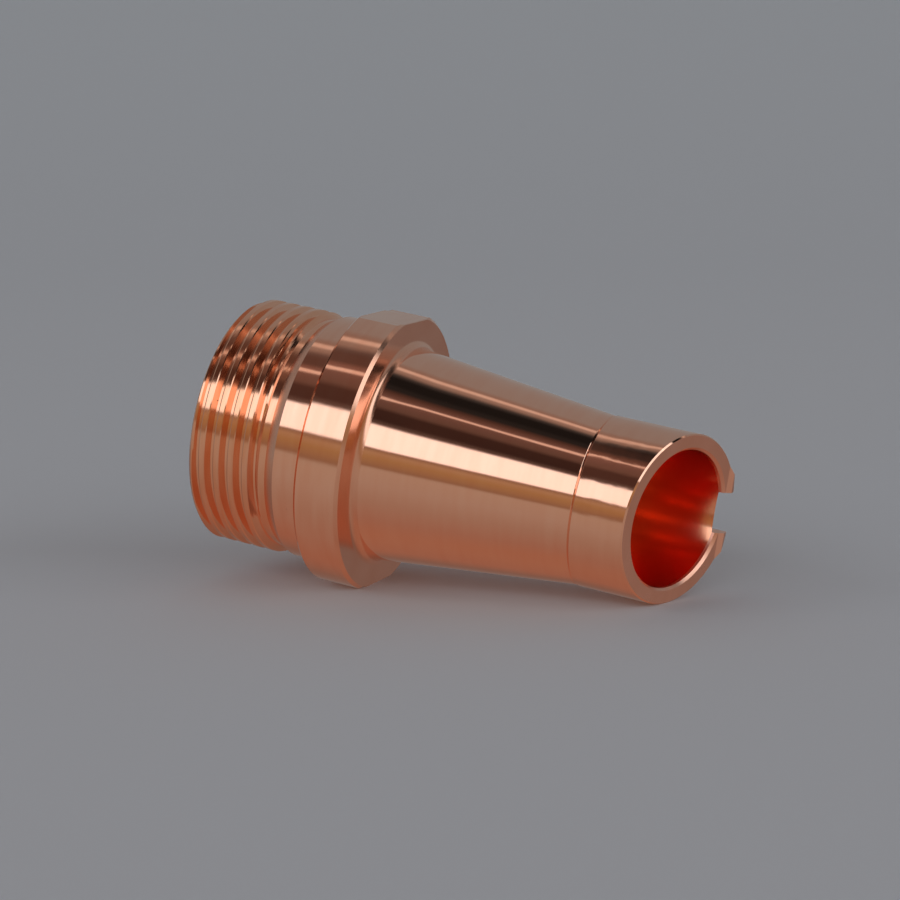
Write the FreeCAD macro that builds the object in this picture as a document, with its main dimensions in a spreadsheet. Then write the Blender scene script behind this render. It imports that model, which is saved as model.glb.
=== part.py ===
import FreeCAD, Part

import math
import os

import Sketcher

# Laser welding nozzle, turned from one piece of copper bar and milled at the tip.
# It stands on its threaded end. Z is its axis and points to the tip, X points to the wire notch,
# and the collar's two spanner flats face +Y and -Y. Millimetres and degrees.

NODE = "nozzle"
STEP_FOLDER = "parts"

# Driving dimensions: name, value, what it measures
SIZES = [
    ("shank_length", 7.8, "threaded end to the collar's rear face"),
    ("thread_diameter", 15.8, "crests of the M16 x 1 thread"),
    ("thread_length", 4.75, "threaded end to the thread's runout"),
    ("thread_start_bevel", 0.3, "where the thread starts"),
    ("runout_depth", 0.4, "bottom of the thread's runout, below the crests"),
    ("runout_width", 0.15, "flat bottom of the runout"),
    ("runout_slope", 1.1, "bevel from the runout up to the neck, along the axis"),
    ("neck_drop", 0.05, "plain neck behind the collar, below the thread's crests"),
    ("flat_height", 0.6, "collar's spanner flats, beyond the thread's crests"),
    ("flat_depth", 0.4, "spanner flats, below the collar's round sides"),
    ("collar_thickness", 3.0, "collar, rear face to front face"),
    ("collar_bevel", 0.2, "collar's two edges"),
    ("cone_base_diameter", 13.75, "cone where it leaves the collar"),
    ("cone_length", 13.6, "collar's front face to the cone's end"),
    ("cone_root_radius", 0.5, "corner of the cone and the collar"),
    ("step_height", 0.05, "tip's straight part, beyond the cone's end"),
    ("step_slope", 0.12, "bevel of that step, along the axis"),
    ("tip_length", 7.05, "cone's end to the lip's face"),
    ("tip_bore_diameter", 8.74, "straight bore of the tip"),
    ("tip_bore_length", 7.5, "straight bore, from the lip's face inwards"),
    ("tip_wall", 1.0, "wall of the tip's straight part"),
    ("bore_rim_bevel", 0.15, "tip bore's rim"),
    ("tip_rim_bevel", 0.08, "tip's outer rim"),
    ("rear_wall", 1.1, "wall between the wide rear bore and the thread's runout"),
    ("rear_bore_length", 5.0, "straight part of the wide bore"),
    ("rear_bore_bevel", 0.3, "mouth of the wide bore"),
    ("slant_angle", 19.2, "tip's slanted face, from square to the axis"),
    ("lip_inset", 0.01, "foot of the lip's slope, which ends the slanted face, inside the bore's far side"),
    ("lip_height", 0.29, "lip's face, above the foot of its slope"),
    ("lip_slope", 0.3, "lip's slope, across"),
    ("notch_width", 2.6, "filler wire's notch, from side to side"),
    ("notch_depth", 0.77, "filler wire's notch, from the lip's face to its floor at the bore"),
    ("notch_angle", 22, "notch's floor, which falls away outwards, from square to the axis"),
    ("spare", 2.0, "length by which a cut runs past the metal"),
]
CLOSE = 1e-5


def make_sheet(doc):
    """The sheet of driving dimensions, one row each: name, size, meaning."""
    sheet = doc.addObject("Spreadsheet::Sheet", "Sizes")
    for row, (name, size, meaning) in enumerate(SIZES, start=1):
        sheet.set("A%d" % row, name)
        sheet.set("B%d" % row, str(size))
        sheet.set("C%d" % row, meaning)
        sheet.setAlias("B%d" % row, name)
    doc.recompute()
    return sheet


def origin_feature(body, role):
    """The plane or axis of the body's own origin that has this role."""
    return next(item for item in body.Origin.OriginFeatures if item.Role == role)


def new_sketch(body, name, role):
    """An empty sketch on one of the body's own origin planes."""
    sketch = body.newObject("Sketcher::SketchObject", name)
    sketch.AttachmentSupport = (origin_feature(body, role), [""])
    sketch.MapMode = "FlatFace"
    return sketch


def minus(formula):
    """The same distance on the other side of the origin."""
    return "-(" + formula + ")"


def place(sketch, line, direction, formula):
    """Hold one coordinate of a line's first point: on an axis for "0", else at a distance from the origin."""
    if formula == "0":
        axis = {"X": -2, "Y": -1}[direction]
        sketch.addConstraint(Sketcher.Constraint("PointOnObject", line, 1, axis))
        return
    ends = (-1, 1, line, 1)
    if formula.startswith("-"):
        ends = (line, 1, -1, 1)
        formula = formula[1:]
    number = sketch.addConstraint(Sketcher.Constraint("Distance" + direction, *ends, 1.0))
    sketch.setExpression("Constraints[%d]" % number, formula)


def draw_outline(sketch, corners):
    """Closed outline through corners that are given as formulas, across and up the sketch."""
    points = [FreeCAD.Vector(1 + number, number * number, 0) for number in range(len(corners))]
    lines = []
    for number, point in enumerate(points):
        following = points[(number + 1) % len(points)]
        lines.append(sketch.addGeometry(Part.LineSegment(point, following), False))
    for number, line in enumerate(lines):
        sketch.addConstraint(Sketcher.Constraint("Coincident", lines[number - 1], 2, line, 1))
    for line, (across, up) in zip(lines, corners):
        place(sketch, line, "X", across)
        place(sketch, line, "Y", up)


def turn(body, kind, name, sketch):
    """A full turn of the sketch about the nozzle's axis."""
    feature = body.newObject(kind, name)
    feature.Profile = sketch
    feature.ReferenceAxis = (sketch, ["V_Axis"])
    feature.Angle = 360
    body.Document.recompute()
    return feature


def cut(body, name, sketch, length, both_ways=False):
    """A straight cut from the sketch, along its normal or to both sides of it."""
    before = body.Shape.Volume
    feature = body.newObject("PartDesign::Pocket", name)
    feature.Profile = sketch
    feature.Midplane = both_ways
    feature.Reversed = not both_ways
    feature.setExpression("Length", length)
    body.Document.recompute()
    removed = before - feature.Shape.Volume
    print(name, "removes", round(removed, 3), "mm3")
    if removed <= 0:
        raise RuntimeError(name + " cuts nothing")


def ring(shape, radius, height):
    """Name of the round edge about the axis with this radius at this height."""
    for number, edge in enumerate(shape.Edges, start=1):
        curve = edge.Curve
        if isinstance(curve, Part.Circle) and curve.Center.isEqual(FreeCAD.Vector(0, 0, height), CLOSE):
            if abs(curve.Radius - radius) < CLOSE:
                return "Edge%d" % number
    raise RuntimeError("no edge of radius %g at height %g" % (radius, height))


def dress(body, kind, name, base, edges, prop, formula):
    """A bevel or rounding of named edges."""
    feature = body.newObject(kind, name)
    feature.Base = (base, edges)
    feature.setExpression(prop, formula)
    body.Document.recompute()
    return feature


# Radii and heights that several features share, as formulas of the sheet
THREAD_RADIUS = "Sizes.thread_diameter / 2"
RUNOUT_RADIUS = THREAD_RADIUS + " - Sizes.runout_depth"
NECK_RADIUS = THREAD_RADIUS + " - Sizes.neck_drop"
FLAT_DISTANCE = THREAD_RADIUS + " + Sizes.flat_height"
COLLAR_RADIUS = FLAT_DISTANCE + " + Sizes.flat_depth"
REAR_BORE_RADIUS = RUNOUT_RADIUS + " - Sizes.rear_wall"
TIP_BORE_RADIUS = "Sizes.tip_bore_diameter / 2"
TIP_RADIUS = TIP_BORE_RADIUS + " + Sizes.tip_wall"
CONE_END_RADIUS = TIP_RADIUS + " - Sizes.step_height"
LIP_DISTANCE = TIP_BORE_RADIUS + " - Sizes.lip_inset"
COLLAR_FRONT = "Sizes.shank_length + Sizes.collar_thickness"
CONE_END = COLLAR_FRONT + " + Sizes.cone_length"
LIP_FACE = CONE_END + " + Sizes.tip_length"


def turn_outside(body, sheet):
    """Outside of the turned blank, with its bevels and the rounded corner at the cone's root."""
    runout_end = "Sizes.thread_length + Sizes.runout_width"
    sketch = new_sketch(body, "outside_profile", "XZ_Plane")
    draw_outline(sketch, [
        ("0", "0"),
        (THREAD_RADIUS, "0"),
        (THREAD_RADIUS, "Sizes.thread_length"),
        (RUNOUT_RADIUS, "Sizes.thread_length"),
        (RUNOUT_RADIUS, runout_end),
        (NECK_RADIUS, runout_end + " + Sizes.runout_slope"),
        (NECK_RADIUS, "Sizes.shank_length"),
        (COLLAR_RADIUS, "Sizes.shank_length"),
        (COLLAR_RADIUS, COLLAR_FRONT),
        ("Sizes.cone_base_diameter / 2", COLLAR_FRONT),
        (CONE_END_RADIUS, CONE_END),
        (TIP_RADIUS, CONE_END + " + Sizes.step_slope"),
        (TIP_RADIUS, LIP_FACE),
        ("0", LIP_FACE),
    ])
    blank = turn(body, "PartDesign::Revolution", "turned_outside", sketch)

    collar_front = sheet.shank_length + sheet.collar_thickness
    thread_radius = sheet.thread_diameter / 2
    collar_radius = thread_radius + sheet.flat_height + sheet.flat_depth
    root = ring(blank.Shape, sheet.cone_base_diameter / 2, collar_front)
    rounded = dress(body, "PartDesign::Fillet", "cone_root", blank, [root],
                    "Radius", "Sizes.cone_root_radius")

    collar_edges = [
        ring(rounded.Shape, collar_radius, sheet.shank_length),
        ring(rounded.Shape, collar_radius, collar_front),
    ]
    bevelled = dress(body, "PartDesign::Chamfer", "collar_edges", rounded, collar_edges,
                     "Size", "Sizes.collar_bevel")

    thread_start = ring(bevelled.Shape, thread_radius, 0)
    dress(body, "PartDesign::Chamfer", "thread_start", bevelled, [thread_start],
          "Size", "Sizes.thread_start_bevel")


def bore_passage(body):
    """The open way through: wide at the threaded end, then tapering into the tip's straight bore."""
    sketch = new_sketch(body, "passage_profile", "XZ_Plane")
    draw_outline(sketch, [
        ("0", minus("Sizes.spare")),
        (REAR_BORE_RADIUS + " + Sizes.rear_bore_bevel + Sizes.spare", minus("Sizes.spare")),
        (REAR_BORE_RADIUS, "Sizes.rear_bore_bevel"),
        (REAR_BORE_RADIUS, "Sizes.rear_bore_length"),
        (TIP_BORE_RADIUS, LIP_FACE + " - Sizes.tip_bore_length"),
        (TIP_BORE_RADIUS, LIP_FACE + " + Sizes.spare"),
        ("0", LIP_FACE + " + Sizes.spare"),
    ])
    before = body.Shape.Volume
    passage = turn(body, "PartDesign::Groove", "passage", sketch)
    removed = before - passage.Shape.Volume
    print("passage removes", round(removed, 3), "mm3")
    if removed <= 0:
        raise RuntimeError("the passage cuts nothing")


def mill_flats(body):
    """Two spanner flats across the collar, over its whole thickness."""
    sketch = new_sketch(body, "flats_outline", "XY_Plane")
    sketch.setExpression("AttachmentOffset.Base.z", "Sizes.shank_length")
    side = COLLAR_RADIUS + " + Sizes.spare"
    flat = FLAT_DISTANCE
    draw_outline(sketch, [(minus(side), flat), (side, flat), (side, side), (minus(side), side)])
    draw_outline(sketch, [
        (minus(side), minus(side)),
        (side, minus(side)),
        (side, minus(flat)),
        (minus(side), minus(flat)),
    ])
    cut(body, "spanner_flats", sketch, "Sizes.collar_thickness")


def mill_slanted_face(body):
    """Slanted cut across the tip. It leaves a small lip, which rises by a short slope."""
    sketch = new_sketch(body, "slant_outline", "XZ_Plane")
    reach = TIP_RADIUS + " + Sizes.spare"
    fall = "(" + LIP_DISTANCE + " + " + reach + ") * tan(Sizes.slant_angle)"
    draw_outline(sketch, [
        (LIP_DISTANCE, LIP_FACE + " - Sizes.lip_height"),
        (LIP_DISTANCE + " + Sizes.lip_slope", LIP_FACE),
        (LIP_DISTANCE + " + Sizes.lip_slope", LIP_FACE + " + Sizes.spare"),
        (minus(reach), LIP_FACE + " + Sizes.spare"),
        (minus(reach), LIP_FACE + " - Sizes.lip_height - " + fall),
    ])
    cut(body, "slanted_face", sketch, "2 * (" + reach + ")", both_ways=True)


def mill_notch(body):
    """Notch for the filler wire, through the wall below the lip only. Its floor falls away outwards."""
    sketch = new_sketch(body, "notch_outline", "XZ_Plane")
    floor = LIP_FACE + " - Sizes.notch_depth"
    top = LIP_FACE + " + Sizes.spare"
    inner = "Sizes.tip_bore_diameter / 4"
    outer = TIP_RADIUS + " + Sizes.spare"
    rise = "Sizes.tip_bore_diameter / 4 * tan(Sizes.notch_angle)"
    fall = "(Sizes.tip_wall + Sizes.spare) * tan(Sizes.notch_angle)"
    draw_outline(sketch, [
        (inner, floor + " + " + rise),
        (outer, floor + " - " + fall),
        (outer, top),
        (inner, top),
    ])
    cut(body, "wire_notch", sketch, "Sizes.notch_width", both_ways=True)


def rims(shape, radius, lip_face, notch_width):
    """Names of the edges at this radius that bound the sloping faces, which are ellipses, or the lip's face.
    The edge of the notch's floor is an ellipse too, but it lies within the notch."""
    names = []
    for number, edge in enumerate(shape.Edges, start=1):
        at_radius = all(abs(math.hypot(point.x, point.y) - radius) < CLOSE for point in edge.discretize(5))
        on_slope = isinstance(edge.Curve, Part.Ellipse)
        on_lip = isinstance(edge.Curve, Part.Circle) and abs(edge.CenterOfMass.z - lip_face) < CLOSE
        in_notch = all(abs(point.y) < notch_width / 2 + CLOSE for point in edge.discretize(5))
        if at_radius and (on_slope or on_lip) and not in_notch:
            names.append("Edge%d" % number)
    return names


def bevel_tip(body, sheet):
    """Small bevels along the bore's rim, and along the outer rim of the slanted face and the lip."""
    lip_face = sheet.shank_length + sheet.collar_thickness + sheet.cone_length + sheet.tip_length
    bore_radius = sheet.tip_bore_diameter / 2
    bore_rim = rims(body.Shape, bore_radius, lip_face, sheet.notch_width)
    dress(body, "PartDesign::Chamfer", "bore_rim", body.Tip, bore_rim, "Size", "Sizes.bore_rim_bevel")
    tip_rim = rims(body.Shape, bore_radius + sheet.tip_wall, lip_face, sheet.notch_width)
    dress(body, "PartDesign::Chamfer", "tip_rim", body.Tip, tip_rim, "Size", "Sizes.tip_rim_bevel")


def check(doc, body):
    """Stop if anything in the document failed, or if the nozzle isn't one sound solid."""
    for item in doc.Objects:
        if "Invalid" in item.State or "Error" in item.State:
            raise RuntimeError(item.Name + " failed: " + ", ".join(item.State))
    shape = body.Shape
    if shape.isNull() or not shape.isValid() or len(shape.Solids) != 1:
        raise RuntimeError("the nozzle isn't one valid solid")


def main():
    """Build the nozzle and write its solid."""
    doc = FreeCAD.newDocument("laser_welding_nozzle")
    sheet = make_sheet(doc)
    body = doc.addObject("PartDesign::Body", "nozzle_body")
    body.Label = NODE
    body.Placement = FreeCAD.Placement()

    turn_outside(body, sheet)
    bore_passage(body)
    mill_flats(body)
    mill_slanted_face(body)
    mill_notch(body)
    bevel_tip(body, sheet)

    doc.recompute()
    check(doc, body)
    os.makedirs(STEP_FOLDER, exist_ok=True)
    body.Shape.exportStep(os.path.join(STEP_FOLDER, body.Label + ".step"))
    box = body.Shape.optimalBoundingBox()
    print("volume", round(body.Shape.Volume, 2), "mm3")
    print("box", [round(edge, 3) for edge in (box.XMin, box.YMin, box.ZMin, box.XMax, box.YMax, box.ZMax)])


main()
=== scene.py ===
# %% [markdown]
# # A copper nozzle for laser welding
#
# The real object is one piece of copper, turned on a lathe and then milled at its tip. It screws into a
# hand torch, and the laser beam and the shielding gas pass through it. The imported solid, here called the
# frame, gives its place and size. This lesson gives the same piece its real thread and a finish for each
# machined surface, and then lights it as in the photograph.

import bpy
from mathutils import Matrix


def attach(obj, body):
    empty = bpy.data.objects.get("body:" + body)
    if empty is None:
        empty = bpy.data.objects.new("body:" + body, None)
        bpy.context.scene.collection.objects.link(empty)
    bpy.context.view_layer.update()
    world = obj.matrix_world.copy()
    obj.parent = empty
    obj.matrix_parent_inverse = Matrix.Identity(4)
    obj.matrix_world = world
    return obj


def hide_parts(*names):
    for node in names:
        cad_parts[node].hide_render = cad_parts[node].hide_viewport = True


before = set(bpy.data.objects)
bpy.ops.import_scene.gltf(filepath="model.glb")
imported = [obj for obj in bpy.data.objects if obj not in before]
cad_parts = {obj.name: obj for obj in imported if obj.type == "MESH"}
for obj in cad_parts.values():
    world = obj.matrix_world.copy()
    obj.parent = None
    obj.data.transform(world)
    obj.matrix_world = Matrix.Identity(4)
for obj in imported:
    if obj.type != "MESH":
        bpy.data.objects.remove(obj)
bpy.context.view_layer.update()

# %% Tools and units
import math

import bmesh
import bpy
import numpy as np
from mathutils import Matrix

MM = 0.001

# %% [markdown]
# ## The nozzle's sizes
#
# Sizes are in millimetres. Z is the nozzle's axis, from the threaded end at 0 up to the tip, X points to the
# wire notch, and the collar's two spanner flats face +Y and -Y. The numbers repeat those of the solid, so
# that the dressed piece fills the same space. As in the photograph, the side of the thread's runout is a
# little steeper here, the neck starts 0.1 mm earlier, and a fine line is scored where the cone ends.

# %% Sizes of the threaded shank, the collar and the cone
THREAD_RADIUS = 7.9
THREAD_DEPTH = 0.43
THREAD_PITCH = 1.0
THREAD_END = 4.75
THREAD_START_BEVEL, THREAD_END_BEVEL = 0.3, 0.3
RUNOUT_DEPTH, RUNOUT_END = 0.4, 5.2
NECK_RADIUS, NECK_START = 7.85, 5.9
COLLAR_REAR, COLLAR_FRONT = 7.8, 10.8
COLLAR_RADIUS, FLAT_DISTANCE, COLLAR_BEVEL = 8.9, 8.5, 0.2
CONE_BASE_RADIUS, CONE_END_RADIUS, CONE_END = 6.875, 5.32, 24.4
CONE_ROOT_RADIUS = 0.5
SCORED_DEPTH, SCORED_WIDTH = 0.05, 0.06

# %% Sizes of the tip and the bore
TIP_RADIUS, TIP_START, LIP_FACE = 5.37, 24.52, 31.45
SLANT = math.tan(math.radians(19.2))
LIP_DISTANCE, LIP_HEIGHT, LIP_SLOPE = 4.36, 0.29, 0.3
NOTCH_HALF_WIDTH, NOTCH_FLOOR = 1.3, 30.68
NOTCH_FALL = math.tan(math.radians(22))
RIM_BEVEL, BORE_BEVEL = 0.08, 0.15
BORE_RADIUS, BORE_END = 4.37, 23.95
REAR_BORE_RADIUS, REAR_BORE_END, MOUTH_BEVEL = 6.4, 5.0, 0.3

# %% [markdown]
# ## Columns round the axis
#
# A turned piece is a profile carried round an axis, so its mesh is a grid: rows follow the profile and
# columns go round. Evenly spaced columns would cut the corners of the flats, the lip and the notch, so
# each of these corners gets a column of its own. The notch's two sides are steps, and each has two columns
# at the same angle, one for its floor and one for the full wall.

# %% Angles of the columns, in degrees from the notch
COLUMNS, CORNER_CLEARANCE, SAME_ANGLE = 432, 0.2, 1e-4
NOTCH_ANGLE = math.degrees(math.asin(NOTCH_HALF_WIDTH / TIP_RADIUS))
rim_radius = TIP_RADIUS - RIM_BEVEL
lip_angles = [
    math.degrees(math.acos((LIP_DISTANCE + LIP_SLOPE) / rim_radius)),
    math.degrees(math.acos(LIP_DISTANCE / rim_radius)),
]
flat_angles = [
    math.degrees(math.asin(FLAT_DISTANCE / radius))
    for radius in (COLLAR_RADIUS, COLLAR_RADIUS - COLLAR_BEVEL)
]
tip_corners = np.array([NOTCH_ANGLE, *lip_angles])
flat_corners = np.array([*flat_angles, *(180 - np.array(flat_angles))])
corners = np.concatenate([tip_corners, 360 - tip_corners, flat_corners, 360 - flat_corners])
even = np.arange(COLUMNS) * 360 / COLUMNS
even = even[np.abs(even[:, None] - corners).min(axis=1) > CORNER_CLEARANCE]
doubled = np.array([NOTCH_ANGLE, 360 - NOTCH_ANGLE])
column_degrees = np.sort(np.concatenate([even, corners, doubled]))
angle = np.radians(column_degrees)
from_notch = np.abs((column_degrees + 180) % 360 - 180)
in_notch = from_notch < NOTCH_ANGLE - SAME_ANGLE
in_notch[np.searchsorted(column_degrees, NOTCH_ANGLE)] = True
in_notch[np.searchsorted(column_degrees, 360 - NOTCH_ANGLE) + 1] = True
print("columns:", len(angle), "of which in the notch:", int(in_notch.sum()))

# %% [markdown]
# ## The thread
#
# The thread is a fine right-hand one with a pitch of 1 mm. A bump texture would leave the outline smooth,
# so it is cut into the mesh. The rows climb by one pitch in a full turn, and so each row keeps its place on
# the crest, the flank or the root. After a turn a row meets the row that started one pitch higher.

# %% Radius of the thread at a height and an angle
CREST_HALF_WIDTH, EDGE_PLACE, ROOT_PLACE = 0.15, 0.21, 0.43
EDGE_DEPTH = 0.03
CREST_HEIGHT, CREST_ANGLE = 1.03, math.radians(206)


def thread_radius(height, turned):
    """Outside radius less the groove's depth at this distance from the nearest crest: none on the crest,
    a little on its worn edge, then down the flank to the root. The groove grows shallower in its last
    turn, where the tool leaves it. Bevels cut the thread down to a cone at its start and where it meets
    the runout."""
    crest = CREST_HEIGHT + THREAD_PITCH * (turned - CREST_ANGLE) / (2 * math.pi)
    from_crest = np.abs((height - crest + 0.5 * THREAD_PITCH) % THREAD_PITCH - 0.5 * THREAD_PITCH)
    depth = np.interp(from_crest, [CREST_HALF_WIDTH, EDGE_PLACE, ROOT_PLACE], [0, EDGE_DEPTH, THREAD_DEPTH])
    deepest = np.interp(height, [THREAD_END - THREAD_PITCH, THREAD_END], [THREAD_DEPTH, RUNOUT_DEPTH])
    at_start = THREAD_RADIUS - THREAD_START_BEVEL + height
    at_end = THREAD_RADIUS - RUNOUT_DEPTH + (THREAD_END - height) * RUNOUT_DEPTH / THREAD_END_BEVEL
    return np.minimum(THREAD_RADIUS - np.minimum(depth, deepest), np.minimum(at_start, at_end))


# %% Rows of the thread, as helices
# The turns reach past both ends of the thread, and what lies beyond is drawn back to the ends
TURNS_BELOW, TURNS_ABOVE = 3, 8
flank_places = np.array([EDGE_PLACE, (EDGE_PLACE + ROOT_PLACE) / 2, ROOT_PLACE])
places = np.concatenate([-flank_places[::-1], [-CREST_HALF_WIDTH, 0, CREST_HALF_WIDTH], flank_places, [0.5]])
turns = np.arange(-TURNS_BELOW, TURNS_ABOVE)
helix_start = CREST_HEIGHT - THREAD_PITCH * CREST_ANGLE / (2 * math.pi)
row_start = (helix_start + (turns[:, None] + places) * THREAD_PITCH).ravel()
helix_height = row_start[:, None] + THREAD_PITCH * angle / (2 * math.pi)
thread_z = np.clip(helix_height, 0, THREAD_END)
thread_angle = np.broadcast_to(angle, thread_z.shape)
thread_r = thread_radius(thread_z, thread_angle)
ROWS_PER_TURN = len(places)
print("thread rows:", len(row_start), "rows in each pitch:", ROWS_PER_TURN)

# %% [markdown]
# ## Shank, collar and cone
#
# Past the thread the profile is plain turning. The collar's flats are straight across, so there the
# radius is the smaller of the profile's and that of a straight line at the flats' distance.


# %% The turned outside, from the thread's runout to the cone's end
def arc(centre_r, centre_z, radius, start, end, steps):
    """Points centre + radius * (cos t, sin t) for t in degrees from start to end."""
    t = np.radians(np.linspace(start, end, steps))
    return np.stack([centre_r + radius * np.cos(t), centre_z + radius * np.sin(t)], axis=1)


# The single rows lie on straight stretches and keep the faces short
NECK_ROW, COLLAR_ROW, CONE_ROWS = 6.9, 9.3, (14.0, 17.5, 21.0)
ROOT_POINTS, LEAST_SINE = 9, 0.5
cone_slope = (CONE_BASE_RADIUS - CONE_END_RADIUS) / (CONE_END - COLLAR_FRONT)
cone_degrees = math.degrees(math.atan(cone_slope))
root_z = COLLAR_FRONT + CONE_ROOT_RADIUS
root_r = CONE_BASE_RADIUS - cone_slope * CONE_ROOT_RADIUS
root_r += CONE_ROOT_RADIUS / math.cos(math.radians(cone_degrees))
runout_radius = THREAD_RADIUS - RUNOUT_DEPTH
outside = np.concatenate([
    [[runout_radius, THREAD_END], [runout_radius, RUNOUT_END], [NECK_RADIUS, NECK_START]],
    [[NECK_RADIUS, NECK_ROW], [NECK_RADIUS, COLLAR_REAR]],
    [[COLLAR_RADIUS - COLLAR_BEVEL, COLLAR_REAR], [COLLAR_RADIUS, COLLAR_REAR + COLLAR_BEVEL]],
    [[COLLAR_RADIUS, COLLAR_ROW], [COLLAR_RADIUS, COLLAR_FRONT - COLLAR_BEVEL]],
    [[COLLAR_RADIUS - COLLAR_BEVEL, COLLAR_FRONT]],
    arc(root_r, root_z, CONE_ROOT_RADIUS, 270, 180 + cone_degrees, ROOT_POINTS),
    [[CONE_BASE_RADIUS - cone_slope * (z - COLLAR_FRONT), z] for z in (*CONE_ROWS, CONE_END - SCORED_WIDTH)],
    [[CONE_END_RADIUS - SCORED_DEPTH, CONE_END], [TIP_RADIUS, TIP_START]],
])
flat_limit = FLAT_DISTANCE / np.maximum(np.abs(np.sin(angle)), LEAST_SINE)
outside_r = np.minimum(outside[:, :1], flat_limit)
outside_z = np.broadcast_to(outside[:, 1:], outside_r.shape)
outside_angle = np.broadcast_to(angle, outside_r.shape)
print("turned rows:", len(outside))

# %% [markdown]
# ## The milled tip
#
# A slanted cut takes most of the tip's face and leaves a small lip on the notch's side, with a short slope
# along a straight chord. The notch for the filler wire goes through the lip, and its floor falls away
# outwards. Its sides are parallel, so nearer the axis its columns turn outwards, to the angle whose sine is
# the half width over the radius.

# %% Helpers for the tip's rows
CHORD_ROUNDS, LEAST_COSINE = 6, 0.1


def face_height(across):
    """Height of the end face at a distance along X: the slanted cut, then the lip's slope, then the lip."""
    slanted = LIP_FACE - LIP_HEIGHT - SLANT * (LIP_DISTANCE - np.minimum(across, LIP_DISTANCE))
    return np.minimum(slanted + LIP_HEIGHT / LIP_SLOPE * np.maximum(across - LIP_DISTANCE, 0), LIP_FACE)


def notch_floor(across):
    """Height of the notch's floor at a distance along X: it falls away outwards from the bore."""
    return NOTCH_FLOOR - NOTCH_FALL * (across - BORE_RADIUS)


def turned_to(radius):
    """Column angles at this radius. The notch's columns keep to its parallel sides, and the turn fades
    out before the lip's ends."""
    turn = np.arcsin(NOTCH_HALF_WIDTH / radius) - math.radians(NOTCH_ANGLE)
    inside = from_notch / NOTCH_ANGLE
    fade = np.clip((lip_angles[0] - from_notch) / (lip_angles[0] - NOTCH_ANGLE), 0, 1)
    share = np.where(from_notch < NOTCH_ANGLE, inside, fade * fade * (3 - 2 * fade))
    return angle + np.where(column_degrees < 180, 1, -1) * turn * share


def chord_row(distance):
    """Radius and angle of the columns where they cross the chord at this distance from the axis, or of
    the rim where they miss it: the smaller of the rim's radius and distance / cos(angle). The two depend
    on each other, so they are worked out in turn until they settle."""
    radius, turned = np.full(len(angle), rim_radius), angle
    for _ in range(CHORD_ROUNDS):
        along = np.maximum(np.cos(turned), LEAST_COSINE)
        radius = np.minimum(rim_radius, distance / along)
        turned = turned_to(radius)
    return radius, turned


# %% Radii, angles and heights on the tip
on_lip = from_notch < lip_angles[0] + SAME_ANGLE
wall_r = np.full(len(angle), TIP_RADIUS)
rim_r = np.full(len(angle), rim_radius)
bevel_r = np.full(len(angle), BORE_RADIUS + BORE_BEVEL)
bore_r = np.full(len(angle), BORE_RADIUS)
rim_turned, bevel_turned, bore_turned = turned_to(rim_r), turned_to(bevel_r), turned_to(bore_r)
lip_r, lip_turned = chord_row(LIP_DISTANCE + LIP_SLOPE)
foot_r, foot_turned = chord_row(LIP_DISTANCE)
rim_top = np.where(on_lip, LIP_FACE, face_height(rim_r * np.cos(rim_turned)))
wall_top = np.minimum(rim_top, face_height(TIP_RADIUS * np.cos(angle))) - RIM_BEVEL
foot_z = face_height(foot_r * np.cos(foot_turned))
bevel_z = face_height(bevel_r * np.cos(bevel_turned))
bore_top = face_height(bore_r * np.cos(bore_turned)) - BORE_BEVEL
print("lowest point of the rim:", round(float(rim_top.min()), 2), "mm")


# %% Rows of the tip, from the outer wall over the face to the bore
def notched(row):
    """The same row, cut down to the notch's floor in the notch's columns."""
    radius, turned, height = row
    floor = notch_floor(radius * np.cos(turned))
    return radius, turned, np.where(in_notch, np.minimum(height, floor), height)


# Below the end face the rows reach the notch's floor just where its sides start
at_side = np.searchsorted(column_degrees, NOTCH_ANGLE)
below_top = wall_top + notch_floor(TIP_RADIUS * np.cos(angle[at_side])) - wall_top[at_side]
below_bore_top = bore_top + notch_floor(BORE_RADIUS * np.cos(bore_turned[at_side])) - bore_top[at_side]
wall_rows = [
    (wall_r, angle, TIP_START + share * (below_top - TIP_START)) for share in (0.25, 0.5, 0.75, 1)
]
face_rows = [
    (wall_r, angle, wall_top),
    (rim_r, rim_turned, rim_top),
    (lip_r, lip_turned, rim_top),
    (foot_r, foot_turned, foot_z),
    (bevel_r, bevel_turned, bevel_z),
    (bore_r, bore_turned, bore_top),
    (bore_r, bore_turned, below_bore_top),
]
wall_rows = [notched(row) for row in wall_rows]
face_rows = [notched(row) for row in face_rows]
print("notch's depth at the bore:", round(LIP_FACE - NOTCH_FLOOR, 2), "mm")

# %% [markdown]
# ## The bore
#
# The bore is straight in the tip, widens evenly towards the shank and is wide and straight again at the
# threaded end, where its mouth is bevelled. Its last row meets the first row of the thread.


# %% Rows of the bore, from the tip to the threaded end
def level_row(radius, height):
    """A row whose radius and height are the same all round."""
    return np.full(len(angle), radius), angle, np.full(len(angle), height)


bore_rows = [
    (bore_r, angle + share * (bore_turned - angle), BORE_END + share * (below_bore_top - BORE_END))
    for share in (0.75, 0.5, 0.25, 0)
]
for share in (0.2, 0.4, 0.6, 0.8, 1):
    taper_radius = BORE_RADIUS + share * (REAR_BORE_RADIUS - BORE_RADIUS)
    bore_rows.append(level_row(taper_radius, BORE_END + share * (REAR_BORE_END - BORE_END)))
bore_rows.append(level_row(REAR_BORE_RADIUS, REAR_BORE_END / 2))
bore_rows.append(level_row(REAR_BORE_RADIUS, MOUTH_BEVEL))
bore_rows.append(level_row(REAR_BORE_RADIUS + MOUTH_BEVEL, 0))
bore_rows.append((thread_radius(0, angle), angle, np.zeros(len(angle))))
print("bore rows:", len(bore_rows))

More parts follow.
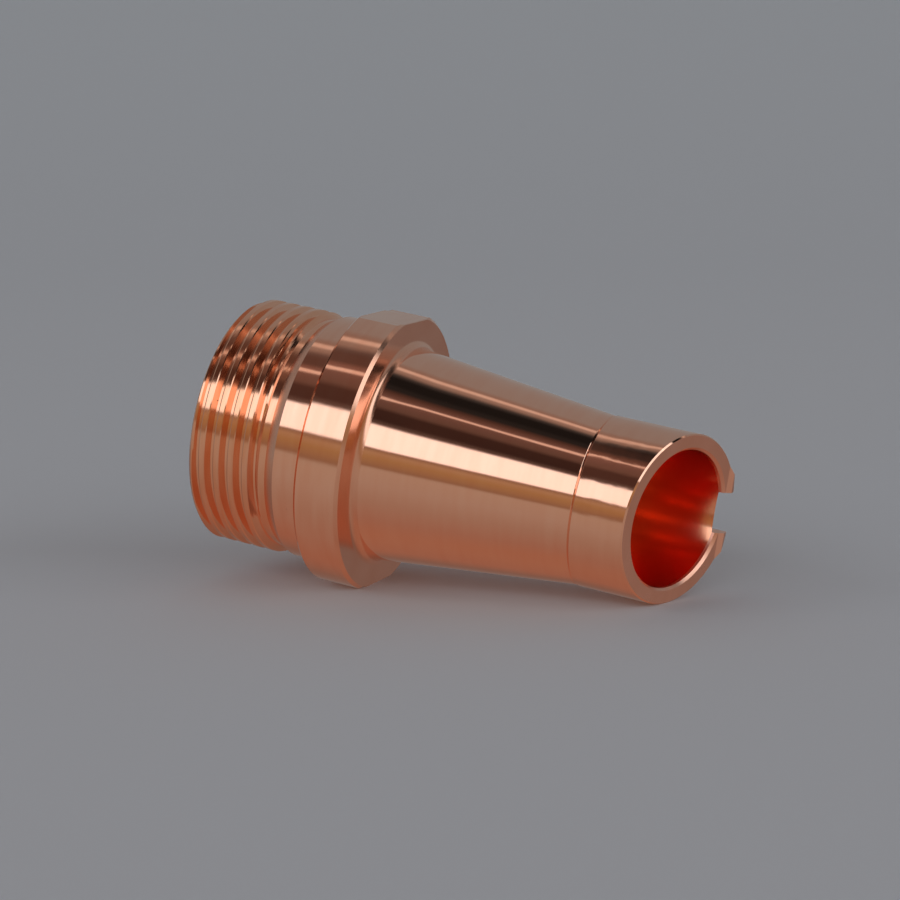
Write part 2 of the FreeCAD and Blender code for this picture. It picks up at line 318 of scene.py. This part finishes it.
# %% [markdown]
# ## Finishes
#
# The band of faces between a row and the next takes the row's finish. The collar's front and the side of
# the thread's runout were faced, the tip's end was milled, and all other surfaces were turned.

# %% All plain rows and the finish that starts at each
first_row = (thread_radius(THREAD_END, angle), angle, np.full(len(angle), THREAD_END))
plain_rows = list(zip(outside_r, outside_angle, outside_z))
rows = [first_row, *plain_rows, *wall_rows, *face_rows, *bore_rows]
OUTSIDE, COLLAR, THREAD, FACED, TIP, MILLED, BORE = range(7)
next_z = np.append(outside[1:, 1], np.inf)
on_face = (outside[:, 1] >= COLLAR_FRONT - COLLAR_BEVEL) & (next_z < root_z)
outside_finish = np.where(outside[:, 1] < COLLAR_FRONT - COLLAR_BEVEL, COLLAR, OUTSIDE)
outside_finish[on_face] = FACED
outside_finish[[0, 1, -1]] = THREAD, FACED, TIP
row_finish = (
    [THREAD, *outside_finish]
    + [TIP] * len(wall_rows)
    + [TIP] + [MILLED] * (len(face_rows) - 2) + [BORE]
    + [BORE] * (len(bore_rows) - 2) + [OUTSIDE]
)
print("plain rows:", len(rows), "bands of faces:", len(row_finish))

# %% [markdown]
# ## One closed mesh
#
# The thread and the rest are two grids of four-sided faces. Grid points that fall together, such as the
# helices cut off at the thread's two ends, are merged, which also removes the faces that they squeezed flat.
# A closed piece has exactly two faces at every edge and a positive volume, and both are printed.


# %% Put the two grids together
def points(radius, turned, height):
    """Points (r cos a, r sin a, z) in metres."""
    return np.stack([radius * np.cos(turned), radius * np.sin(turned), height], axis=-1) * MM


def quads(rows_up, columns, seam_shift=0):
    """Corner numbers of the faces between neighbouring rows and columns, and each face's lower row. The
    last column's faces end on the first column, seam_shift rows further on."""
    row, column = np.meshgrid(np.arange(rows_up - 1), np.arange(columns), indexing="ij")
    following = (column + 1) % columns
    shift = np.where(column == columns - 1, seam_shift, 0)
    inside = (row + 1 + shift < rows_up).ravel()
    lower, upper = row * columns, (row + 1) * columns
    corners_of = [lower + column, lower + shift * columns + following,
                  upper + shift * columns + following, upper + column]
    return np.stack(corners_of, axis=-1).reshape(-1, 4)[inside], row.ravel()[inside]


thread_points = points(thread_r, thread_angle, thread_z)
plain_points = np.stack([points(*row) for row in rows])
thread_faces, _ = quads(len(thread_points), len(angle), ROWS_PER_TURN)
plain_faces, plain_row = quads(len(plain_points), len(angle))
vertices = np.concatenate([thread_points.reshape(-1, 3), plain_points.reshape(-1, 3)])
faces = np.concatenate([thread_faces, plain_faces + thread_points.size // 3])
finish = np.concatenate([np.full(len(thread_faces), THREAD), np.array(row_finish)[plain_row]])
print("grid faces:", len(faces))

# %% Merge and check the mesh
MERGE_DISTANCE, FLAT_FACE_AREA = 0.0002, 1e-7
mesh = bpy.data.meshes.new("nozzle")
mesh.from_pydata(vertices.tolist(), [], faces.tolist())
mesh.polygons.foreach_set("material_index", finish.astype(np.int32))
shape = bmesh.new()
shape.from_mesh(mesh)
bmesh.ops.remove_doubles(shape, verts=shape.verts, dist=MERGE_DISTANCE * MM)
open_edges = sum(len(edge.link_faces) != 2 for edge in shape.edges)
volume = shape.calc_volume(signed=True) / MM**3
flat_faces = sum(face.calc_area() < FLAT_FACE_AREA * MM**2 for face in shape.faces)
print("open edges:", open_edges, "volume in mm3:", round(volume, 1), "flat faces:", flat_faces)
shape.to_mesh(mesh)
shape.free()

# %% The piece, smooth but for its sharp corners
SHARP_CORNER = math.radians(14)
mesh.shade_smooth()
mesh.set_sharp_from_angle(angle=SHARP_CORNER)
nozzle = bpy.data.objects.new("copper_nozzle", mesh)
bpy.context.scene.collection.objects.link(nozzle)
triangles = sum(len(polygon.vertices) - 2 for polygon in mesh.polygons)
print("faces:", len(mesh.polygons), "triangles:", triangles)

# %% Tell the frame what this piece is
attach(nozzle, "root")
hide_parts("nozzle")

# %% [markdown]
# ## Shared finishing marks
#
# Each machined surface keeps marks of its tool. A lathe leaves fine rings round the axis, a polishing wheel
# leaves a faint waviness that bends reflections, and handling leaves small dark specks. Each of these is one
# node group, which works from the piece's own coordinates in metres, and each finish uses the groups with
# values of its own.


# %% Helpers for nodes
def add_node(tree, kind, **settings):
    """A new node. Settings whose names are those of inputs go to the inputs, the others to the node."""
    node = tree.nodes.new("ShaderNode" + kind)
    for name, value in settings.items():
        if name in node.inputs:
            node.inputs[name].default_value = value
        else:
            setattr(node, name, value)
    return node


def calculate(tree, operation, *operands):
    """A Math node whose operands are numbers or sockets."""
    node = add_node(tree, "Math", operation=operation)
    for number, operand in enumerate(operands):
        if isinstance(operand, (int, float)):
            node.inputs[number].default_value = operand
        else:
            tree.links.new(operand, node.inputs[number])
    return node.outputs[0]


def limited(value):
    """The same number, kept between 0 and 1 by the Math node that it comes from."""
    value.node.use_clamp = True
    return value


def new_group(name, inputs, outputs):
    """An empty node group with number inputs, each with its usual value, and number outputs."""
    group = bpy.data.node_groups.new(name, "ShaderNodeTree")
    for label, value in inputs.items():
        socket = group.interface.new_socket(label, in_out="INPUT", socket_type="NodeSocketFloat")
        socket.default_value = value
    for label in outputs:
        group.interface.new_socket(label, in_out="OUTPUT", socket_type="NodeSocketFloat")
    return group, group.nodes.new("NodeGroupInput").outputs, group.nodes.new("NodeGroupOutput").inputs


def stretched(tree, across, along):
    """Object coordinates with X and Y scaled by one amount and Z, the nozzle's axis, by another."""
    place = add_node(tree, "TexCoord")
    parts = add_node(tree, "SeparateXYZ")
    joined = add_node(tree, "CombineXYZ")
    tree.links.new(place.outputs["Object"], parts.inputs[0])
    for number, scale in enumerate((across, across, along)):
        tree.links.new(calculate(tree, "MULTIPLY", parts.outputs[number], scale), joined.inputs[number])
    return joined.outputs[0]


# %% Group: rings left by the lathe
PER_METRE = 1000
rings, ring_in, ring_out = new_group(
    "turned rings", {"Per millimetre": 9.0, "Along": 0.15}, ["Height", "Shade"]
)
fineness = calculate(rings, "MULTIPLY", ring_in["Per millimetre"], PER_METRE)
slow = calculate(rings, "MULTIPLY", fineness, ring_in["Along"])
coordinates = stretched(rings, slow, fineness)
fine = add_node(rings, "TexNoise", Detail=2.0, Roughness=0.6, Scale=1.0)
broad = add_node(rings, "TexNoise", Detail=1.0, Roughness=0.5, Scale=0.21)
for noise in (fine, broad):
    rings.links.new(coordinates, noise.inputs["Vector"])
both = calculate(rings, "ADD", fine.outputs[0], broad.outputs[0])
rings.links.new(calculate(rings, "MULTIPLY", both, 0.5), ring_out["Height"])
rings.links.new(broad.outputs[0], ring_out["Shade"])
print("rings:", len(rings.nodes), "nodes")

# %% Group: waviness left by the polishing wheel
WAVE_STRETCH = 0.6
polish, polish_in, polish_out = new_group("polished waviness", {"Per millimetre": 0.5}, ["Height"])
waves_across = calculate(polish, "MULTIPLY", polish_in["Per millimetre"], PER_METRE)
waves_along = calculate(polish, "MULTIPLY", waves_across, WAVE_STRETCH)
wave = add_node(polish, "TexNoise", Detail=3.0, Roughness=0.45, Scale=1.0)
polish.links.new(stretched(polish, waves_across, waves_along), wave.inputs["Vector"])
polish.links.new(wave.outputs[0], polish_out["Height"])
print("waviness:", len(polish.nodes), "nodes")

# %% Group: small dark specks, a few on each surface
SPECK_SHARPNESS = 40
specks, speck_in, speck_out = new_group(
    "specks", {"Per millimetre": 0.7, "Size": 0.07, "Share": 0.12}, ["Mask"]
)
specks_per_metre = calculate(specks, "MULTIPLY", speck_in["Per millimetre"], PER_METRE)
cells = add_node(specks, "TexVoronoi", Scale=1.0, Randomness=1.0)
specks.links.new(stretched(specks, specks_per_metre, specks_per_metre), cells.inputs["Vector"])
lot = add_node(specks, "SeparateColor")
specks.links.new(cells.outputs["Color"], lot.inputs[0])
chosen = calculate(specks, "LESS_THAN", lot.outputs[0], speck_in["Share"])
own_size = calculate(specks, "MULTIPLY", speck_in["Size"], lot.outputs[1])
closeness = calculate(specks, "SUBTRACT", own_size, cells.outputs["Distance"])
soft = limited(calculate(specks, "MULTIPLY", closeness, SPECK_SHARPNESS))
specks.links.new(calculate(specks, "MULTIPLY", soft, chosen), speck_out["Mask"])
print("specks:", len(specks.nodes), "nodes")

# %% [markdown]
# ## Copper in seven finishes
#
# Bare copper is a metal, so its colour is the colour of its reflections. The cone is polished brightest,
# and the collar, the neck and the tip a little less. The thread is given a redder colour, as painted
# reddening of the light that bounces from flank to flank, on top of the real bounces. The faced sides are
# duller, and the milled end face is duller still. The bore is given a redder colour still, as a painted red
# glow: its deep red comes from that and from light that goes from wall to wall many times and loses a little
# more of its green and blue each time.

# %% How a copper finish is made
SPECK_COLOUR = (0.05, 0.02, 0.012)
STAIN_LOW, STAIN_HIGH = 0.3, 0.7
RING_DULLNESS, SPECK_DULLNESS = 0.4, 0.4


def copper_colour(tree, marks, dots, colour, stain):
    """The colour, slowly changing to that of the stain along the rings, with dark specks."""
    tint = add_node(tree, "ValToRGB")
    low, high = tint.color_ramp.elements
    low.position, high.position = STAIN_LOW, STAIN_HIGH
    low.color, high.color = (*stain, 1), (*colour, 1)
    tree.links.new(marks.outputs["Shade"], tint.inputs[0])
    speckled = add_node(tree, "Mix", data_type="RGBA")
    tree.links.new(dots.outputs["Mask"], speckled.inputs[0])
    tree.links.new(tint.outputs[0], speckled.inputs["A"])
    speckled.inputs["B"].default_value = (*SPECK_COLOUR, 1)
    return speckled.outputs["Result"]


def copper(name, colour, stain, roughness, per_mm, ring_depth, wave_depth, speck_share):
    """A copper finish: rings and waviness, both in millimetres, as one bump, specks and a slow stain in
    the colour. Stained rings and specks are a little duller."""
    material = bpy.data.materials.new(name)
    material.use_nodes = True
    tree = material.node_tree
    shader = tree.nodes["Principled BSDF"]
    shader.inputs["Metallic"].default_value = 1.0
    marks = add_node(tree, "Group", node_tree=rings)
    marks.inputs["Per millimetre"].default_value = per_mm
    waves = add_node(tree, "Group", node_tree=polish)
    dots = add_node(tree, "Group", node_tree=specks)
    dots.inputs["Share"].default_value = speck_share

    ring_height = calculate(tree, "MULTIPLY", marks.outputs["Height"], ring_depth)
    wave_height = calculate(tree, "MULTIPLY", waves.outputs["Height"], wave_depth)
    bump = add_node(tree, "Bump", Strength=1.0, Distance=MM)
    tree.links.new(calculate(tree, "ADD", ring_height, wave_height), bump.inputs["Height"])
    tree.links.new(bump.outputs[0], shader.inputs["Normal"])

    tree.links.new(copper_colour(tree, marks, dots, colour, stain), shader.inputs["Base Color"])

    shade = calculate(tree, "SUBTRACT", marks.outputs["Shade"], 0.5)
    duller = calculate(tree, "MULTIPLY", shade, -RING_DULLNESS * roughness)
    spoilt = calculate(tree, "MULTIPLY", dots.outputs["Mask"], SPECK_DULLNESS)
    rough = calculate(tree, "ADD", calculate(tree, "ADD", duller, spoilt), roughness)
    tree.links.new(rough, shader.inputs["Roughness"])
    mesh.materials.append(material)


# %% The seven finishes, in the order of their numbers
copper("polished copper", (0.93, 0.57, 0.43), (0.92, 0.54, 0.40), roughness=0.06, per_mm=9,
       ring_depth=0.0002, wave_depth=0.003, speck_share=0.12)
copper("collar copper", (0.93, 0.57, 0.43), (0.91, 0.52, 0.38), roughness=0.065, per_mm=9,
       ring_depth=0.0005, wave_depth=0.006, speck_share=0.12)
# The thread's redder colour is painted reddening of light that bounces from flank to flank
copper("thread copper with painted reddening", (0.93, 0.54, 0.38), (0.90, 0.47, 0.30), roughness=0.10, per_mm=14,
       ring_depth=0.005, wave_depth=0.004, speck_share=0.2)
copper("faced copper", (0.92, 0.55, 0.41), (0.88, 0.49, 0.35), roughness=0.20, per_mm=12,
       ring_depth=0.0015, wave_depth=0.004, speck_share=0.1)
copper("tip copper", (0.93, 0.56, 0.42), (0.91, 0.53, 0.39), roughness=0.08, per_mm=9,
       ring_depth=0.0004, wave_depth=0.03, speck_share=0.12)
copper("milled copper", (0.93, 0.53, 0.41), (0.87, 0.48, 0.36), roughness=0.30, per_mm=12,
       ring_depth=0.002, wave_depth=0.003, speck_share=0.0)
# The bore's redder colour is a painted red glow, standing in for light bounced round the bore
copper("bore copper with painted glow", (0.96, 0.50, 0.33), (0.94, 0.45, 0.28), roughness=0.135, per_mm=5,
       ring_depth=0.0015, wave_depth=0.003, speck_share=0.0)
print("finishes:", [material.name for material in mesh.materials])

# %% [markdown]
# ## The camera
#
# The camera's place was found by fitting the nozzle's edges to the photograph: it looks down a little on a
# nozzle that lies on its side, with the tip towards it.

# %% Camera
camera_data = bpy.data.cameras.new("camera")
camera_data.sensor_width = 36
camera_data.lens = 96
camera_data.clip_start, camera_data.clip_end = 0.005, 20
camera = bpy.data.objects.new("camera", camera_data)
right = (0.372298, 0.14682, 0.916427)
up = (0.145207, 0.966035, -0.213757)
back = (-0.916684, 0.212653, 0.338333)
place = np.array([-138.3046, 33.0679, 65.34]) * MM
camera.matrix_world = Matrix([*zip(right, up, back, place), (0, 0, 0, 1)])
bpy.context.scene.collection.objects.link(camera)
bpy.context.scene.camera = camera
print("camera's place in metres:", place.round(4))

# %% [markdown]
# ## Floor and backdrop
#
# The nozzle was photographed lying on its side, and here the model stands upright in its own coordinates, so
# the floor is the plane that touches the collar's lower flat and the tip's lower rim. Far behind it bends
# up into the backdrop, and the two are one seamless sheet. Seen from below, the sheet lets the view through.

# %% Directions of the floor
TILT = math.radians(9.45)
floor_up = np.array([0, math.cos(TILT), -math.sin(TILT)])
floor_point = np.array([0, -FLAT_DISTANCE, COLLAR_FRONT])
behind = -np.array(back)
behind = behind - (behind @ floor_up) * floor_up
behind /= np.linalg.norm(behind)
sideways = np.cross(behind, floor_up)
print("floor's normal:", floor_up.round(3), "away from the camera:", behind.round(3))

# %% The sheet
REAR, FRONT, HALF_WIDTH = 250, 420, 1500
BEND_RADIUS, BEND_DEGREES, BEND_POINTS = 1500, 85, 18
bend = np.radians(np.linspace(0, BEND_DEGREES, BEND_POINTS))
run = np.concatenate([[-FRONT, REAR], REAR + BEND_RADIUS * np.sin(bend[1:])])
rise = np.concatenate([[0, 0], BEND_RADIUS * (1 - np.cos(bend[1:]))])
sheet_points = np.stack([
    floor_point + run[:, None] * behind + rise[:, None] * floor_up + edge * HALF_WIDTH * sideways
    for edge in (-1, 1)
], axis=1).reshape(-1, 3) * MM
first = np.arange(len(run) - 1) * 2
sheet_faces = np.stack([first, first + 1, first + 3, first + 2], axis=1)
sheet_mesh = bpy.data.meshes.new("sheet")
sheet_mesh.from_pydata(sheet_points.tolist(), [], sheet_faces.tolist())
sheet_mesh.shade_smooth()
sheet = bpy.data.objects.new("floor_sheet", sheet_mesh)
bpy.context.scene.collection.objects.link(sheet)
facing_up = np.array(sheet_mesh.polygons[0].normal) @ floor_up
print("floor faces up:", facing_up > 0)

# %% Pale paper for the sheet
NEAR_PAPER, FAR_PAPER = (0.635, 0.70, 0.78), (0.45, 0.53, 0.60)
TONE_START, TONE_END = -0.05, 1.2


def pale_paper():
    """Matt paper whose tone falls from the near one to the far one between two distances in metres, and
    which can't be seen from its back."""
    material = bpy.data.materials.new("pale paper")
    material.use_nodes = True
    tree = material.node_tree
    shader = tree.nodes["Principled BSDF"]
    shader.inputs["Roughness"].default_value = 0.9
    shader.inputs["Specular IOR Level"].default_value = 0.1
    coordinates = add_node(tree, "TexCoord")
    backwards = add_node(tree, "VectorMath", operation="DOT_PRODUCT")
    backwards.inputs[1].default_value = behind
    distance = add_node(tree, "MapRange", clamp=True)
    distance.inputs["From Min"].default_value = TONE_START
    distance.inputs["From Max"].default_value = TONE_END
    tone = add_node(tree, "ValToRGB")
    near, far = tone.color_ramp.elements
    near.color, far.color = (*NEAR_PAPER, 1), (*FAR_PAPER, 1)
    sides = add_node(tree, "NewGeometry")
    clear = add_node(tree, "BsdfTransparent")
    either = add_node(tree, "MixShader")
    for output, target in (
        (coordinates.outputs["Object"], backwards.inputs[0]),
        (backwards.outputs["Value"], distance.inputs["Value"]),
        (distance.outputs[0], tone.inputs[0]),
        (tone.outputs[0], shader.inputs["Base Color"]),
        (sides.outputs["Backfacing"], either.inputs[0]),
        (shader.outputs[0], either.inputs[1]),
        (clear.outputs[0], either.inputs[2]),
        (either.outputs[0], tree.nodes["Material Output"].inputs["Surface"]),
    ):
        tree.links.new(output, target)
    return material


sheet_mesh.materials.append(pale_paper())
sheet.visible_glossy = False

# %% [markdown]
# ## Studio light
#
# Polished copper shows its surroundings, so the light is a whole studio painted in directions round the
# nozzle. A broad white softbox stands low in front, with black cloth above it. Overhead is a dark opening
# with one bright line before it and another behind it, and past that the grey backdrop. A faint warm glow
# lies on the left. Below the horizon is the floor, with painted light and shade on it: right under the
# nozzle it is darker and redder, a painted shadow and a painted glow of the copper, and on the far side it
# is darker, a painted shadow. The paper sheet is left out of sharp reflections, so that they show this floor
# instead.

# %% Helpers for the studio
world = bpy.data.worlds.new("studio")
world.use_nodes = True
air = world.node_tree
look = add_node(air, "TexCoord").outputs["Generated"]


def along(direction):
    """How far the look direction reaches along a given one."""
    node = add_node(air, "VectorMath", operation="DOT_PRODUCT")
    air.links.new(look, node.inputs[0])
    node.inputs[1].default_value = direction
    return node.outputs["Value"]


def ramp(value, low, high, stops):
    """Colours at given values, with even change between them. Each stop is a value and a grey or a colour."""
    share = add_node(air, "MapRange", clamp=True)
    air.links.new(value, share.inputs["Value"])
    share.inputs["From Min"].default_value, share.inputs["From Max"].default_value = low, high
    node = add_node(air, "ValToRGB")
    elements = node.color_ramp.elements
    while len(elements) < len(stops):
        elements.new(0.5)
    for element, (stop, colour) in zip(elements, stops):
        element.position = (stop - low) / (high - low)
        element.color = (*colour, 1) if isinstance(colour, tuple) else (colour, colour, colour, 1)
    air.links.new(share.outputs[0], node.inputs[0])
    return node.outputs[0]


def rising(value, start, slope):
    """The share (value - start) * slope, kept between 0 and 1."""
    return limited(calculate(air, "MULTIPLY", calculate(air, "SUBTRACT", value, start), slope))


def blend(share, first, second):
    """The first colour at share 0 and the second at share 1."""
    node = add_node(air, "Mix", data_type="RGBA")
    for socket, value in ((node.inputs[0], share), (node.inputs["A"], first), (node.inputs["B"], second)):
        air.links.new(value, socket)
    return node.outputs["Result"]


def add_light(first, second):
    """Two colours of light together."""
    node = add_node(air, "VectorMath", operation="ADD")
    air.links.new(first, node.inputs[0])
    air.links.new(second, node.inputs[1])
    return node.outputs[0]


# %% [markdown]
# A direction is told in two ways. Its elevation is its angle over the floor, in degrees. For things
# overhead it is also the point where it meets a level ceiling one unit above the nozzle. That point lies
# towards / height to the front, where the camera is, and across / height to the right.

# %% Directions in the studio
LEAST_HEIGHT = 0.02
height = along(floor_up)
towards = along(-behind)
across = along(sideways)
elevation = calculate(air, "MULTIPLY", calculate(air, "ARCSINE", height), 180 / math.pi)
above = calculate(air, "MAXIMUM", height, LEAST_HEIGHT)
ceiling_front = calculate(air, "DIVIDE", towards, above)
ceiling_side = calculate(air, "DIVIDE", across, above)

# %% In front: floor's edge, softbox and black cloth, by elevation
SOFTBOX = (1.35, 1.33, 1.32)
SOFTBOX_BEND_PLACE, SOFTBOX_BEND = -0.42, 9
front_stops = [
    (-8, (0.40, 0.33, 0.27)), (-5, (0.27, 0.17, 0.11)), (-1, (0.32, 0.20, 0.11)), (4, (0.36, 0.23, 0.11)),
    (9, (0.40, 0.27, 0.16)), (13, (0.24, 0.15, 0.10)), (14.5, SOFTBOX), (36, SOFTBOX),
    (38.3, (0.11, 0.08, 0.07)), (43, (0.040, 0.022, 0.018)), (53, (0.045, 0.025, 0.020)),
    (57, (0.12, 0.075, 0.06)), (62, (0.14, 0.085, 0.07)), (68, (0.17, 0.10, 0.085)),
    (75, (0.08, 0.045, 0.035)), (79, 0.02),
]
# Far to the left the softbox stands higher, by so many degrees for each unit across
leftward = calculate(air, "MINIMUM", calculate(air, "SUBTRACT", across, SOFTBOX_BEND_PLACE), 0.0)
softbox_height = calculate(air, "ADD", elevation, calculate(air, "MULTIPLY", leftward, SOFTBOX_BEND))
front_light = ramp(softbox_height, -90, 90, front_stops)
print("colours in front:", len(front_stops))

# %% Overhead: backdrop, rear line and dark opening
OPENING_TURN = 0.1
back_stops = [
    (-3, (0.27, 0.27, 0.265)), (-0.50, (0.275, 0.265, 0.26)), (-0.36, (0.26, 0.19, 0.16)),
    (-0.325, (0.66, 0.54, 0.47)), (-0.28, (0.64, 0.52, 0.45)), (-0.25, (0.30, 0.24, 0.21)),
    (-0.20, (0.28, 0.22, 0.19)), (-0.13, 0.05), (-0.06, 0.012), (3, 0.012),
]
turn = calculate(air, "MULTIPLY", ceiling_side, OPENING_TURN)
back_light = ramp(calculate(air, "ADD", ceiling_front, turn), -3, 3, back_stops)
print("colours overhead:", len(back_stops))

# %% Front line, by its distance to the front at places across the ceiling
LINE_LIGHT, LINE_CORE, LINE_EDGE = (0.60, 0.50, 0.43), 0.018, 0.045
FRONT_START, FRONT_SLOPE = 0.08, 16
line_places = [(-0.7, 0.20), (-0.37, 0.20), (-0.25, 0.26), (-0.165, 0.366), (-0.12, 0.42), (0.3, 0.45)]
from_line = calculate(air, "SUBTRACT", ceiling_front, ramp(ceiling_side, -0.7, 0.3, line_places))
line_stops = [(-LINE_EDGE, 0.0), (-LINE_CORE, LINE_LIGHT), (LINE_CORE, LINE_LIGHT), (LINE_EDGE, 0.0)]
front_and_line = add_light(front_light, ramp(from_line, -0.5, 0.5, line_stops))
overhead = blend(rising(ceiling_front, FRONT_START, FRONT_SLOPE), back_light, front_and_line)
print("points of the front line:", len(line_places))

# %% Glow on the left, which ends behind the opening
GLOW_LEFT, GLOW_FRONT, GLOW_START = -5, 1.75, 0.25
GLOW_REAR, GLOW_REAR_SLOPE = -0.22, 10
FAINT_GLOW, FULL_GLOW = (0.03, 0.016, 0.012), (0.10, 0.055, 0.042)
glow_stops = [(38, 0.0), (42, FAINT_GLOW), (66, FAINT_GLOW), (72, FULL_GLOW)]
past_front = calculate(air, "MULTIPLY", calculate(air, "MAXIMUM", ceiling_front, 0.0), GLOW_FRONT)
to_left = calculate(air, "SUBTRACT", calculate(air, "MULTIPLY", ceiling_side, GLOW_LEFT), past_front)
on_left = rising(to_left, GLOW_START, 1)
before_rear = rising(ceiling_front, GLOW_REAR, GLOW_REAR_SLOPE)
glow = add_node(air, "VectorMath", operation="SCALE")
air.links.new(ramp(elevation, -90, 90, glow_stops), glow.inputs[0])
air.links.new(calculate(air, "MULTIPLY", on_left, before_rear), glow.inputs["Scale"])
upper = add_light(overhead, glow.outputs[0])
print("glow's steps:", len(glow_stops))

# %% The floor below, and the whole studio
FAR_SIDE_SLOPE = -3
HORIZON, HORIZON_SLOPE = -5, -0.25
# Right under the nozzle the floor is darker and copper-red: painted shadow and painted glow of the copper
COPPER_GLOW_AND_SHADOW_BELOW = (0.36, 0.19, 0.13)
floor_stops = [
    (-90, COPPER_GLOW_AND_SHADOW_BELOW), (-70, COPPER_GLOW_AND_SHADOW_BELOW), (-60, (0.34, 0.20, 0.15)),
    (-41, (0.35, 0.25, 0.20)), (-23, (0.39, 0.31, 0.26)), (-9, (0.41, 0.33, 0.27)),
]
# On the far side the floor is darker: a painted shadow of the nozzle
far_floor_shadow_stops = [
    (-90, COPPER_GLOW_AND_SHADOW_BELOW), (-70, COPPER_GLOW_AND_SHADOW_BELOW), (-55, (0.33, 0.17, 0.12)), (-40, (0.23, 0.14, 0.11)),
    (-5, (0.20, 0.17, 0.16)),
]
at_far_side = rising(towards, 0, FAR_SIDE_SLOPE)
lower = blend(at_far_side, ramp(elevation, -90, 90, floor_stops), ramp(elevation, -90, 90, far_floor_shadow_stops))
whole = blend(rising(elevation, HORIZON, HORIZON_SLOPE), upper, lower)
air.links.new(whole, air.nodes["Background"].inputs["Color"])
bpy.context.scene.world = world
bpy.context.scene.view_settings.view_transform = "Standard"
print("studio:", len(air.nodes), "nodes")

# %% Bounces of light
# In the bore, light goes from wall to wall many times before it comes out
BOUNCES = 24
bpy.context.scene.cycles.max_bounces = BOUNCES
bpy.context.scene.cycles.glossy_bounces = BOUNCES
